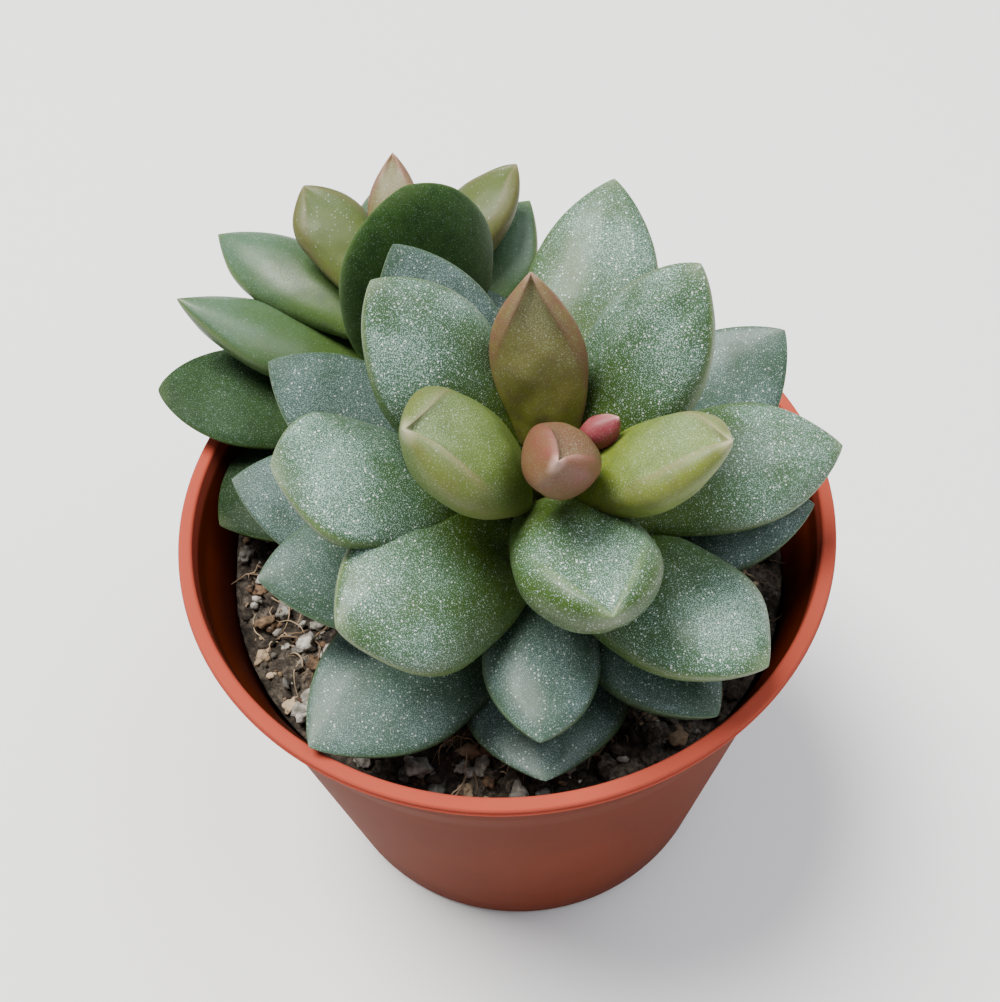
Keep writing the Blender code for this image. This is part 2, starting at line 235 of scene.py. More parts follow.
def leafMaterial(name, looks):
    # waxy cuticle over green tissue: IOR about 1.42, with a silvery wax bloom that breaks up into fine grains
    material, tree, shader = newMaterial(name, looks["roughness"], 1.42)
    coords = addNode(tree, "ShaderNodeTexCoord", output="Object")
    along, margin, upper, tint, ridge = [
        addNode(tree, "ShaderNodeAttribute", output="Fac", attribute_name=layer)
        for layer in ("along", "margin", "upper", "tint", "ridge")
    ]
    cloud = addNode(tree, "ShaderNodeTexNoise", {"Vector": coords, "Scale": perMm / 5})
    blotch = addNode(tree, "ShaderNodeTexNoise", {
        "Vector": coords, "Scale": perMm / 1.1, "Detail": 4.0, "Roughness": 0.6,
    })

    # the bloom is real wax, and it is also painted light: kept clear of the margins and the base and thinned
    # beneath, where shade falls, it paints a sheen on the upper faces; it thins at the tip and lies in soft
    # clouds
    # the tint takes bloom away: at random on most leaves, and as painted shade on the shaded kind
    patch = addNode(tree, "ShaderNodeMapRange", {0: tint, 4: 1 - looks["bloomLossAndShade"], 3: 1.0})
    for source, low, high, atLow, atHigh in (
        (margin, 0.12, 0.6, 0.0, 1.0),
        (along, looks["start"], looks["start"] + 0.5, 0.0, 1.0),
        (along, 1.02, 0.9, 0.35, 1.0),
        (cloud, 0.3, 0.62, 0.35, 1.0),
        (upper, 0.35, 0.7, looks["under"], 1.0),
    ):
        limit = addNode(tree, "ShaderNodeMapRange", {
            0: source, 1: low, 2: high, 3: atLow, 4: atHigh,
        }, **softRange)
        patch = addNode(tree, "ShaderNodeMath", {0: patch, 1: limit}, **product)

    # wax grains of 0.075 mm, denser where the bloom is
    speck = addNode(tree, "ShaderNodeTexNoise", {"Vector": coords, "Scale": perMm / 0.075, "Detail": 1.0})
    needed = addNode(tree, "ShaderNodeMapRange", {0: patch, 3: 0.63, 4: looks["dense"]})
    grain = addNode(tree, "ShaderNodeMath", {0: speck, 1: needed}, operation="SUBTRACT")
    grain = addNode(tree, "ShaderNodeMapRange", {0: grain, 2: 0.07}, **softRange)

    # about one cell in five, 0.25 mm across, holds a wax grain painted near white: a painted glint over a real
    # grain
    cell = addNode(tree, "ShaderNodeTexVoronoi", {"Vector": coords, "Scale": perMm / 0.25})
    near = addNode(tree, "ShaderNodeMapRange", {0: cell, 1: 0.3, 2: 0.2}, **softRange)
    pick = addNode(tree, "ShaderNodeSeparateColor", {0: cell.node.outputs["Color"]})
    pick = addNode(tree, "ShaderNodeMapRange", {0: pick, 1: 0.72, 2: 0.86}, **softRange)
    waxGlint = addNode(tree, "ShaderNodeMath", {0: near, 1: pick}, **product)
    strength = addNode(tree, "ShaderNodeMath", {0: patch, 1: looks["waxGlint"]}, **product)
    strength = addNode(tree, "ShaderNodeMath", {0: strength, 1: looks["waxGlint"] * 0.35}, **cappedSum)
    waxGlint = addNode(tree, "ShaderNodeMath", {0: waxGlint, 1: strength}, **product)

    toTip = addNode(tree, "ShaderNodeMapRange", {0: along, 1: 0.05, 2: 0.6}, **softRange)
    mottle = addNode(tree, "ShaderNodeMapRange", {0: blotch, 1: 0.42, 2: 0.68, 4: 0.7}, **softRange)
    edge = addNode(tree, "ShaderNodeMapRange", {0: margin, 1: 0.75, 2: 0.1}, **softRange)
    uneven = addNode(tree, "ShaderNodeMapRange", {0: blotch, 1: 0.35, 2: 0.6, 3: 0.55}, **softRange)
    edge = addNode(tree, "ShaderNodeMath", {0: edge, 1: uneven}, **product)
    paling = addNode(tree, "ShaderNodeMapRange", {0: along, 1: 0.6, 2: 0.95}, **softRange)
    pale = addNode(tree, "ShaderNodeMix", {
        0: paling, 6: hexColour(looks["blush"]), 7: hexColour(looks["line"]),
    }, **colourMix)
    end = addNode(tree, "ShaderNodeMapRange", {0: along, 1: 0.94, 2: 0.995}, **softRange)

    # painted one over the other
    skin = hexColour(looks["base"])
    for mask, weight, colour in (
        (toTip, 1.0, hexColour(looks["flesh"])),
        (mottle, 1.0, hexColour(looks["cloud"])),
        (tint, looks["tintWeight"], hexColour(looks["tint"])),
        (patch, looks["veil"], hexColour(looks["bloom"])),
        (grain, looks["stipple"], hexColour(looks["dots"])),
        (waxGlint, 1.0, hexColour("FBFFFD")),
        (edge, looks["flush"], hexColour(looks["blush"])),
        (ridge, looks["lineWeight"], pale),
        (end, looks["tipWeight"], hexColour(looks["tip"])),
    ):
        cover = addNode(tree, "ShaderNodeMath", {0: mask, 1: weight}, **product)
        skin = addNode(tree, "ShaderNodeMix", {0: cover, 6: skin, 7: colour}, **colourMix)
    tree.links.new(skin, shader.inputs["Base Color"])

    raised = addNode(tree, "ShaderNodeMath", {0: grain, 1: 0.5}, **product)
    lumps = addNode(tree, "ShaderNodeMath", {0: blotch, 1: 0.5}, **product)
    raised = addNode(tree, "ShaderNodeMath", {0: raised, 1: lumps}, **cappedSum)
    bump = addNode(tree, "ShaderNodeBump", {"Height": raised, "Distance": 0.06 * mm, "Strength": 0.8})
    tree.links.new(bump, shader.inputs["Normal"])
    shader.inputs["Specular IOR Level"].default_value = looks["gleam"]
    shader.inputs["Subsurface Weight"].default_value = looks["soft"]
    shader.inputs["Subsurface Radius"].default_value = (0.7, 1.0, 0.25)
    shader.inputs["Subsurface Scale"].default_value = 0.8 * mm
    return material


matureLeaf = {
    "base": "4C6210", "flesh": "2E4812", "cloud": "243C10", "tint": "3E5614", "bloom": "587E72",
    "dots": "CCE6E0", "line": "7E9462", "blush": "56703A", "tip": "98A684",
    "lineWeight": 0.35, "flush": 0.0, "tipWeight": 0.25, "tintWeight": 0.5, "under": 0.1, "veil": 0.52,
    "dense": 0.5, "start": 0.32, "stipple": 0.62, "waxGlint": 0.9, "soft": 0.05, "roughness": 0.44,
    "bloomLossAndShade": 0.15, "gleam": 0.5,
}
oldLeaf = {
    **matureLeaf, "base": "34501E", "flesh": "2A4228", "cloud": "203622", "tint": "304A2C",
    "bloom": "5C7676", "dots": "BCD2D0", "line": "64805E", "blush": "48643E", "tip": "6C8272",
    "tipWeight": 0.15, "veil": 0.48, "dense": 0.52, "waxGlint": 0.5, "stipple": 0.45, "start": 0.22,
}
youngLeaf = {
    **matureLeaf, "base": "6E7C14", "flesh": "647420", "cloud": "4E5E1E", "tint": "485C20",
    "bloom": "6E845C", "dots": "B4C49A", "line": "A89E80", "blush": "7E6C46", "tip": "C4BEA4",
    "lineWeight": 0.42, "flush": 0.22, "tipWeight": 0.35, "veil": 0.55, "dense": 0.51, "start": 0.3,
    "stipple": 0.5, "waxGlint": 0.25, "soft": 0.08, "roughness": 0.5, "tintWeight": 0.85,
}
dullLeaf = {
    **youngLeaf, "base": "56660E", "flesh": "46561A", "cloud": "3C4C1A", "tint": "4E5820",
    "bloom": "4C6040", "dots": "8C9C7A", "line": "7C7254", "blush": "6E5840", "tip": "8C8068",
    "lineWeight": 0.3, "stipple": 0.25, "veil": 0.35, "flush": 0.35,
}
blushLeaf = {
    **youngLeaf, "base": "868A30", "flesh": "7E7C3E", "cloud": "746842", "tint": "54482C",
    "bloom": "827A60", "line": "A87868", "blush": "7C4842", "tip": "B89888",
    "flush": 0.65, "tipWeight": 0.6, "veil": 0.4, "tintWeight": 0.7,
}
redBud = {
    **youngLeaf, "base": "5E5A16", "flesh": "644828", "cloud": "663628", "tint": "6A4230",
    "bloom": "684A40", "line": "B07C74", "blush": "823C3C", "tip": "C8A49A",
    "flush": 0.35, "tipWeight": 0.5, "veil": 0.5, "tintWeight": 0.4, "stipple": 0.3, "waxGlint": 0.1,
    "lineWeight": 0.55,
}
pinkBud = {
    **redBud, "base": "6C3432", "flesh": "7E3039", "cloud": "8C3A44", "tint": "823640",
    "bloom": "98585E", "line": "C49490",
}
glossLeaf = {
    **matureLeaf, "base": "46601E", "flesh": "344C28", "cloud": "2B4224", "tint": "465E2C",
    "bloom": "587A6A", "dots": "A4C0B2", "line": "7C9258", "tip": "7C8A5C",
    "veil": 0.4, "dense": 0.57, "stipple": 0.3, "waxGlint": 0.12, "roughness": 0.4,
}
# painted shade: a darker copy of the leaf skin for leaves that lie in shadow, with a near-black tint and its
# bloom taken off
shadeLeaf = {
    **glossLeaf, "base": "3A5A1C", "flesh": "2F4A1E", "cloud": "223A18", "tint": "0C1C06",
    "bloom": "44644A", "line": "5C7040", "veil": 0.3, "dense": 0.54, "stipple": 0.32, "waxGlint": 0.15,
    "lineWeight": 0.3, "tipWeight": 0.1, "roughness": 0.58, "tintWeight": 0.9, "bloomLossAndShade": 0.85, "gleam": 0.15,
}
leafMaterials = {
    "mature": leafMaterial("waxyLeafSkinMature", matureLeaf),
    "old": leafMaterial("waxyLeafSkinOld", oldLeaf),
    "young": leafMaterial("waxyLeafSkinYoung", youngLeaf),
    "dull": leafMaterial("waxyLeafSkinDull", dullLeaf),
    "blush": leafMaterial("waxyLeafSkinBlushed", blushLeaf),
    "bud": leafMaterial("waxyBudSkin", redBud),
    "pink": leafMaterial("waxyBudSkinPink", pinkBud),
    "gloss": leafMaterial("waxyLeafSkinGlossy", glossLeaf),
    "shade": leafMaterial("waxyLeafSkinShaded", shadeLeaf),
}
print("materials ready")

# pot: outside, rolled rim, inside and floor in one closed turned shell
potLow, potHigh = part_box("pot")
pot = {
    "rimRadius": (potHigh.x - potLow.x) / 2, "height": potHigh.z, "rimWidth": 1.25 * mm, "lip": 0.8 * mm,
    "collarFoot": 39.4 * mm, "collarRadius": 26.6 * mm, "collarStep": 0.55 * mm, "wall": 0.8 * mm,
    "baseRadius": 21 * mm, "floor": 1.2 * mm, "steps": 288,
    "drains": 5, "drainRadius": 2.2 * mm, "drainRing": 12.5 * mm,
}


def arc(centreX, centreZ, radius, start, end, count):
    points = []
    for index in range(count + 1):
        angle = math.radians(start + (end - start) * index / count)
        points.append((centreX + radius * math.cos(angle), centreZ + radius * math.sin(angle)))
    return points


def between(first, second, count):
    points = []
    for step in range(1, count):
        share = step / count
        points.append((first[0] + (second[0] - first[0]) * share, first[1] + (second[1] - first[1]) * share))
    return points


rimR, topZ = pot["rimRadius"], pot["height"]
innerR = rimR - pot["rimWidth"]
lipZ = topZ - pot["lip"]
collarTop = (pot["collarRadius"], lipZ)
collarLow = (pot["collarRadius"] - 0.3 * mm, pot["collarFoot"])
bodyTop = (collarLow[0] - pot["collarStep"], pot["collarFoot"] - 0.5 * mm)
bodyFoot = (pot["baseRadius"] + 0.12 * mm, 0.9 * mm)
wallTop = (pot["collarRadius"] - pot["wall"], pot["collarFoot"] + 0.6 * mm)
stepLow = (bodyTop[0] - pot["wall"], pot["collarFoot"] - 0.6 * mm)
footIn = (pot["baseRadius"] - pot["wall"], pot["floor"] + 0.8 * mm)

profile = [(0.0, 0.0), (pot["baseRadius"] - 1.2 * mm, 0.0)]
profile += arc(pot["baseRadius"] - 0.6 * mm, 0.6 * mm, 0.6 * mm, 270, 352, 5)
profile += [bodyFoot] + between(bodyFoot, bodyTop, 10) + [bodyTop]
profile += arc(collarLow[0] - 0.3 * mm, collarLow[1] + 0.05 * mm, 0.3 * mm, 300, 355, 4)
profile += between(collarLow, collarTop, 4) + [(collarTop[0], collarTop[1] - 0.15 * mm)]
profile += [(collarTop[0] + 0.1 * mm, collarTop[1] - 0.02 * mm)]
# the rim is a low bead, a fine groove and a rounded crest
profile += arc(rimR - 0.2 * mm, lipZ + 0.2 * mm, 0.2 * mm, 268, 380, 6)
for inset, rise in ((0.07, 0.34), (0.14, 0.4), (0.13, 0.46)):
    profile.append((rimR - inset * mm, lipZ + rise * mm))
profile += arc(rimR - 0.32 * mm, topZ - 0.24 * mm, 0.24 * mm, 10, 90, 6)
profile += arc(innerR + 0.3 * mm, topZ - 0.3 * mm, 0.3 * mm, 92, 180, 6)
profile += between((innerR, topZ - 0.4 * mm), wallTop, 3) + [wallTop, stepLow]
profile += between(stepLow, footIn, 8) + [footIn, (footIn[0] - 0.7 * mm, pot["floor"]), (0.0, pot["floor"])]
potPiece = makeObject("pot", turned(profile, pot["steps"]), potMaterial)

cutters = []
for index in range(pot["drains"]):
    turn = math.tau * (index + 0.25) / pot["drains"]
    middle = Vector((math.cos(turn), math.sin(turn), 0)) * pot["drainRing"]
    work = bmesh.new()
    bmesh.ops.create_cone(
        work, cap_ends=True, segments=48, radius1=pot["drainRadius"], radius2=pot["drainRadius"],
        depth=6 * mm, matrix=Matrix.Translation(middle),
    )
    cutter = makeObject("drainCutter", work, potMaterial)
    cutters.append(cutter)
    tool = potPiece.modifiers.new("drain", "BOOLEAN")
    tool.operation = "DIFFERENCE"
    tool.solver = "EXACT"
    tool.object = cutter
cutMesh = bpy.data.meshes.new_from_object(potPiece.evaluated_get(bpy.context.evaluated_depsgraph_get()))
potPiece.modifiers.clear()
potPiece.data = cutMesh
for cutter in cutters:
    bpy.data.objects.remove(cutter)

insideLayer = cutMesh.attributes.new("inside", "FLOAT", "POINT")
for vert in cutMesh.vertices:
    outside = bodyFoot[0] + (bodyTop[0] - bodyFoot[0]) * min(vert.co.z / bodyTop[1], 1.0)
    within = math.hypot(vert.co.x, vert.co.y) < outside - 0.5 * mm and vert.co.z > 0.5 * mm
    insideLayer.data[vert.index].value = 1.0 if within else 0.0
stand(potPiece, "pot")
print("pot ready", len(potPiece.data.polygons))

# soil: one closed body whose top is crumbly and sinks a little towards the wall
soil = {
    "top": 37 * mm, "edge": 36 * mm, "shoulder": 34.6 * mm, "middle": 20 * mm, "chamfer": 1.2 * mm,
    "gap": 0.35 * mm, "rings": 110, "turns": 330,
}


def innerRadius(height):
    share = min(max((height - footIn[1]) / (stepLow[1] - footIn[1]), 0.0), 1.0)
    return footIn[0] + (stepLow[0] - footIn[0]) * share


def soilHeight(x, y):
    place = Vector((x, y, 0.0)) / mm
    height = noise.noise(place * 0.11 + Vector((4, 2, 7))) * 1.1
    height += noise.noise(place * 0.33 + Vector((9, 5, 1))) * 0.75
    height += noise.noise(place * 0.9 + Vector((1, 8, 3))) * 0.5
    height += abs(noise.noise(place * 1.9 + Vector((3, 3, 6)))) * 0.8
    height += noise.noise(place * 4.2) * 0.28
    radius = math.hypot(x, y) / mm
    return soil["top"] + (height - 0.9 * smooth(radius, 19.0, 24.0)) * mm


bottom = pot["floor"] + soil["gap"]
outer = innerRadius(soil["edge"]) - soil["gap"]
profile = [(innerRadius(bottom) - 0.9 * mm, bottom)]
for level in (bottom + soil["chamfer"], soil["middle"], soil["shoulder"]):
    profile.append((innerRadius(level) - soil["gap"], level))
profile += [(outer * (1 - ring / soil["rings"]), soil["top"]) for ring in range(soil["rings"] + 1)]
work = turned(profile, soil["turns"])
for vert in work.verts:
    if vert.co.z > soil["edge"]:
        vert.co.z = soilHeight(vert.co.x, vert.co.y)
soilPiece = makeObject("soil", work, peatMaterial)
stand(soilPiece, "soil")


def ballTemplate(subdivisions):
    work = bmesh.new()
    bmesh.ops.create_icosphere(work, subdivisions=subdivisions, radius=1.0)
    work.verts.index_update()
    points = [vert.co.copy() for vert in work.verts]
    corners = [[vert.index for vert in face.verts] for face in work.faces]
    work.free()
    return points, corners


smallBall, largeBall = ballTemplate(2), ballTemplate(3)


def loosePiece(name, points, faces, tints, material):
    mesh = bpy.data.meshes.new(name)
    mesh.from_pydata(points, [], faces)
    mesh.attributes.new("tint", "FLOAT", "POINT").data.foreach_set("value", tints)
    return linkMesh(name, mesh, material)


# loose grains: sizes in millimetres; "tinted" is the share that leans to the other colour
looseGrains = {
    "perliteGrains": {
        "count": 650, "sizes": (0.25, 2.1), "flattest": 0.55, "tinted": 0.55, "proud": 0.35, "seed": 5,
        "material": perliteMaterial,
    },
    "barkCrumbs": {
        "count": 700, "sizes": (0.3, 1.8), "flattest": 0.25, "tinted": 0.5, "proud": 0.4, "seed": 8,
        "material": barkMaterial,
    },
    "peatCrumbs": {
        "count": 1100, "sizes": (0.3, 2.0), "flattest": 0.4, "tinted": 0.0, "proud": 0.35, "seed": 21,
        "material": peatMaterial,
    },
}


def scatter(name, grains):
    # one ball per grain, lumped by noise; copied as lists because thousands would slow a bmesh down
    dice = random.Random(grains["seed"])
    smallest, largest = grains["sizes"]
    points, faces, tints = [], [], []
    for index in range(grains["count"]):
        size = (smallest + (largest - smallest) * dice.random() ** 2.2) * mm
        radius = math.sqrt(dice.random()) * (outer - 0.8 * mm)
        turn = dice.uniform(0, math.tau)
        x, y = radius * math.cos(turn), radius * math.sin(turn)
        tint = dice.random() if dice.random() < grains["tinted"] else 0.0
        shift = Vector((dice.uniform(0, 90), dice.uniform(0, 90), dice.uniform(0, 90)))
        spin = Matrix.Rotation(dice.uniform(0, math.tau), 3, "Z")
        spin = spin @ Matrix.Rotation(dice.uniform(-0.9, 0.9), 3, "X")
        stretch = Vector((1.0, dice.uniform(0.5, 1.0), dice.uniform(grains["flattest"], 0.9))) * (size / 2)
        middle = Vector((x, y, soilHeight(x, y) + size * dice.uniform(-0.1, grains["proud"])))
        start = len(points)
        ball, corners = largeBall if size > 1.3 * mm else smallBall
        for away in ball:
            bulge = 1 + 0.55 * noise.noise(away * 1.4 + shift) + 0.35 * noise.noise(away * 3.6 + shift)
            points.append(spin @ (away * bulge * stretch) + middle)
        faces += [[corner + start for corner in face] for face in corners]
        tints += [tint] * len(ball)
    return loosePiece(name, points, faces, tints, grains["material"])


# coir: fine bent fibres lying on the soil, in millimetres
coir = {
    "count": 900, "length": (1.0, 5.0), "thick": (0.03, 0.1), "arch": (0.2, 0.9), "bend": 0.35,
    "steps": 9, "sides": 5, "seed": 3,
}


def fibres(name, material):
    dice = random.Random(coir["seed"])
    steps, sides = coir["steps"], coir["sides"]
    points, faces, tints = [], [], []
    for index in range(coir["count"]):
        radius = math.sqrt(dice.random()) * (outer - 2.5 * mm)
        turn = dice.uniform(0, math.tau)
        x, y = radius * math.cos(turn), radius * math.sin(turn)
        heading = dice.uniform(0, math.tau)
        bend = dice.uniform(-coir["bend"], coir["bend"])
        arch = dice.uniform(*coir["arch"]) * mm
        length = dice.uniform(*coir["length"]) * mm
        thick = dice.uniform(*coir["thick"]) * mm
        tint = dice.random()
        start = len(points)
        for step in range(steps + 1):
            share = step / steps
            middle = Vector((x, y, soilHeight(x, y) + thick + arch * math.sin(math.pi * share)))
            side = Vector((-math.sin(heading), math.cos(heading), 0))
            width = thick * (0.25 + 0.75 * math.sin(math.pi * min(max(share, 0.04), 0.96)))
            for corner in range(sides):
                angle = math.tau * corner / sides
                points.append(middle + (side * math.cos(angle) + Vector((0, 0, math.sin(angle)))) * width)
            heading += bend
            x += math.cos(heading) * length / steps
            y += math.sin(heading) * length / steps
        for step in range(steps):
            low = start + step * sides
            for corner in range(sides):
                after = (corner + 1) % sides
                faces.append((low + corner, low + after, low + sides + after, low + sides + corner))
        faces.append([start + sides - 1 - corner for corner in range(sides)])
        faces.append([start + steps * sides + corner for corner in range(sides)])
        tints += [tint] * (sides * (steps + 1))
    return loosePiece(name, points, faces, tints, material)


loose = [scatter(name, grains) for name, grains in looseGrains.items()]
loose.append(fibres("coirFibres", barkMaterial))
for piece in loose:
    stand(piece, "soil")
print("soil ready", sum(len(piece.data.polygons) for piece in [soilPiece] + loose))

# stems: turned, lumpy, and set along the axis that each CAD stem's own ends give
stem = {"radius": 2.0 * mm, "end": 0.9 * mm, "steps": 40, "sides": 32, "lump": 0.05}


def stemAxis(name):
    points = [vert.co.copy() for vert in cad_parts[name].data.vertices]
    low = min(point.z for point in points)
    high = max(point.z for point in points)
    foot = [point for point in points if point.z < low + stem["end"]]
    crown = [point for point in points if point.z > high - stem["end"]]
    return sum(foot, Vector()) / len(foot), sum(crown, Vector()) / len(crown)


def stemRadius(share):
    radius = stem["radius"] * (0.45 + 0.55 * smooth(share, 0.0, 0.06)) * (1 - 0.3 * smooth(share, 0.8, 1.0))
    return radius * math.sqrt(max(1 - smooth(share, 0.97, 1.0) * 0.9, 0.02))


stems = {}
for name in ("main", "side"):
    foot, crown = stemAxis(name + "_stem")
    up = (crown - foot).normalized()
    stems[name] = {"foot": foot, "up": up}
    length = (crown - foot).length
    shares = [step / stem["steps"] for step in range(stem["steps"] + 1)]
    work = turned([(stemRadius(share), length * share) for share in shares], stem["sides"])
    for vert in work.verts:
        angle = math.atan2(vert.co.y, vert.co.x)
        spot = Vector((math.cos(angle), math.sin(angle), vert.co.z / length * 14)) * 1.6
        lump = 1 + stem["lump"] * noise.noise(spot)
        vert.co.x *= lump
        vert.co.y *= lump
    tilt = up.to_track_quat("Z", "Y").to_matrix().to_4x4()
    bmesh.ops.transform(work, matrix=Matrix.Translation(foot) @ tilt, verts=work.verts[:])
    stand(makeObject(name + "Stem", work, stemMaterial), name + "_stem")
print("stems ready")


# leaves: each takes its place, size and bend from its CAD node
def nearestOnStem(axis, point):
    return axis["foot"] + axis["up"] * (point - axis["foot"]).dot(axis["up"])


def measureLeaf(name, axis):
    # the two points where most edges meet are the leaf's ends, and the one nearer the stem is its base
    work = bmesh.new()
    work.from_mesh(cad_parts[name].data)
    bmesh.ops.remove_doubles(work, verts=work.verts[:], dist=0.01 * mm)
    ends = sorted(work.verts, key=lambda vert: -len(vert.link_edges))[:2]
    points = [vert.co.copy() for vert in work.verts if vert not in ends]
    ends.sort(key=lambda vert: (vert.co - nearestOnStem(axis, vert.co)).length)
    base, tip = ends[0].co.copy(), ends[1].co.copy()
    work.free()
    along = (tip - base).normalized()
    length = (tip - base).length

    # the side is the widest way across; where a leaf is nearly round, the level way is taken
    flat = [point - base - along * (point - base).dot(along) for point in points]
    side = max(flat, key=lambda item: item.length).normalized()
    level = axis["up"].cross(along).normalized()
    if max(abs(item.dot(level)) for item in flat) > 0.85 * side.length * max(item.length for item in flat):
        side = level if side.dot(level) > 0 else -level
    for turn in range(6):
        total = Vector()
        for item in flat:
            total += item * item.dot(side)
        side = (total - along * total.dot(along)).normalized()
    face = side.cross(along)
    outward = base - nearestOnStem(axis, base)
    if face.dot(axis["up"] - outward.normalized()) < 0:
        face = -face
    side = face.cross(along)

    # the margins give the bend, and what stands off the bent middle gives the thickness
    half = max(abs(item.dot(side)) for item in flat)
    shares = [(point - base).dot(along) / length for point in points]
    sag = [
        item.dot(face) / max(share * (1 - share), 0.05)
        for share, item in zip(shares, flat) if abs(item.dot(side)) > 0.93 * half
    ]
    bend = sum(sag) / len(sag)
    heights = [item.dot(face) - bend * share * (1 - share) for share, item in zip(shares, flat)]
    return {
        "base": base, "along": along, "side": side, "face": face, "length": length, "half": half,
        "bend": bend, "above": max(heights), "below": -min(heights),
    }


fold = {"edge": 0.924, "from": 0.45, "full": 0.75, "ridge": 0.24 * mm}  # hollow of the young tips


def leafShape(size, share, turn, shift):
    # share runs from base to tip; turn runs from one margin over the upper face to the other and back beneath
    cap = min(1.0, math.sqrt(share / 0.05))
    widest = size["widest"]
    if share < widest:
        outline = size["neck"] + (1 - size["neck"]) * math.sin(0.5 * math.pi * share / widest)
    else:
        outline = (1 - ((share - widest) / (1 - widest)) ** size["point"]) ** size["blunt"]
    deepest = 0.46
    if share < deepest:
        upperBelly = lowerBelly = 0.4 + 0.6 * math.sin(0.5 * math.pi * share / deepest)
    else:
        far = (share - deepest) / (1 - deepest)
        upperBelly = (1 - far ** 2.4) ** 0.9
        lowerBelly = (1 - far ** size["hull"]) ** 0.8
    rise, level = math.sin(turn), math.cos(turn)
    ridge = 0.0 if size["facet"] else math.exp(-((1 - abs(level)) / 0.03) ** 2) * smooth(share, 0.2, 0.7)
    crisp = size["crisp"] * smooth(share, 0.3, 0.95)
    sunk = 0.0
    if size["facet"] and share > fold["from"]:
        # young tips carry a pressed hollow between two ridges that meet at the point
        edge = min(fold["edge"], fold["edge"] * ((1 - share) / (1 - fold["from"])) ** 0.38)
        reach = abs(level)
        if reach < fold["edge"]:
            reach = reach / fold["edge"] * edge
        else:
            reach = edge + (reach - fold["edge"]) / (1 - fold["edge"]) * (1 - edge)
        if rise >= 0:
            level = math.copysign(reach, level)
            rise = math.sqrt(max(1 - level * level, 0.0))
            fade = smooth(share, fold["from"], fold["full"])
            if reach < edge:
                sunk = size["facet"] * (1 - (reach / edge) ** 2) * fade * smooth(share, 1.0, 0.93)
            ridge = math.exp(-((reach - edge) * outline * size["half"] / fold["ridge"]) ** 2) * fade
    lens = (1 - crisp) * abs(rise) + crisp * rise * rise
    if rise >= 0:
        height = (size["above"] * upperBelly * lens - sunk * size["half"]) * cap
    else:
        height = -size["below"] * lowerBelly * lens * cap
    width = size["half"] * outline * cap * level

    # slow waves and small dents, calm at both ends
    wave = noise.noise(Vector((share * 2.6, level * 0.9, rise * 0.9)) + shift)
    dent = noise.noise(Vector((share * 7.0, level * 2.4, rise * 2.4)) + shift)
    calm = smooth(share, 0.02, 0.2) * smooth(share, 1.0, 0.85)
    height *= 1 + 0.14 * wave * calm
    height += size["dents"] * size["half"] * dent * calm * abs(rise)
    width *= 1 + 0.05 * wave * calm
    width += size["half"] * 0.06 * wave * smooth(share, 0.25, 0.7) * smooth(share, 1.0, 0.8)
    return share * size["length"], width, height + size["bend"] * share * (1 - share), ridge


# how each kind of leaf differs from its CAD node: wide, up and down stretch it, point, blunt, widest and neck
# draw its outline, crisp thins its margins, facet presses the hollow at its tip
mature = {
    "wide": 1.12, "up": 1.55, "down": 1.1, "point": 2.2, "blunt": 0.86, "widest": 0.56, "neck": 0.5,
    "crisp": 0.35, "facet": 0.0, "dents": 0.035, "hull": 3.2, "roll": 0, "move": (0, 0, 0),
}
young = {
    **mature, "wide": 1.02, "up": 1.3, "down": 1.0, "point": 2.1, "blunt": 0.95, "widest": 0.58,
    "neck": 0.62, "crisp": 0.1, "facet": 0.13, "hull": 1.9,
}
leafLooks = {
    "mature": mature,
    "old": {**mature, "wide": 1.18, "up": 1.5, "down": 1.2, "crisp": 0.45, "dents": 0.025},
    "young": young,
    "dull": {**young, "facet": 0.05, "blunt": 0.85},
    "blush": {**young, "point": 1.8, "widest": 0.5, "facet": 0.15, "crisp": 0.5},
    "bud": {
        **young, "wide": 1.05, "up": 1.0, "down": 1.05, "point": 1.9, "blunt": 0.86, "widest": 0.42,
        "neck": 0.8, "facet": 0.3, "hull": 3.2,
    },
    "pink": {**young, "up": 1.0, "down": 1.0, "point": 1.7, "widest": 0.45, "neck": 0.8},
    "gloss": {**mature, "dents": 0.02, "point": 1.9, "blunt": 0.95},
    "shade": {**mature, "up": 1.2, "dents": 0.02, "crisp": 0.5},
}


def aimed(size, heading, rise, twist, moved):
    # turns a bud about its own middle to a heading, rise and twist in degrees, then moves it in millimetres
    middle = size["base"] + size["along"] * size["length"] * 0.5 + Vector(moved) * mm
    heading, rise, twist = (math.radians(angle) for angle in (heading, rise, twist))
    along = Vector((math.cos(rise) * math.cos(heading), math.cos(rise) * math.sin(heading), math.sin(rise)))
    side = Vector((-math.sin(heading), math.cos(heading), 0))
    side.rotate(Matrix.Rotation(twist, 3, along))
    base = middle - along * size["length"] * 0.5
    size.update({"along": along, "side": side, "face": along.cross(side), "base": base})


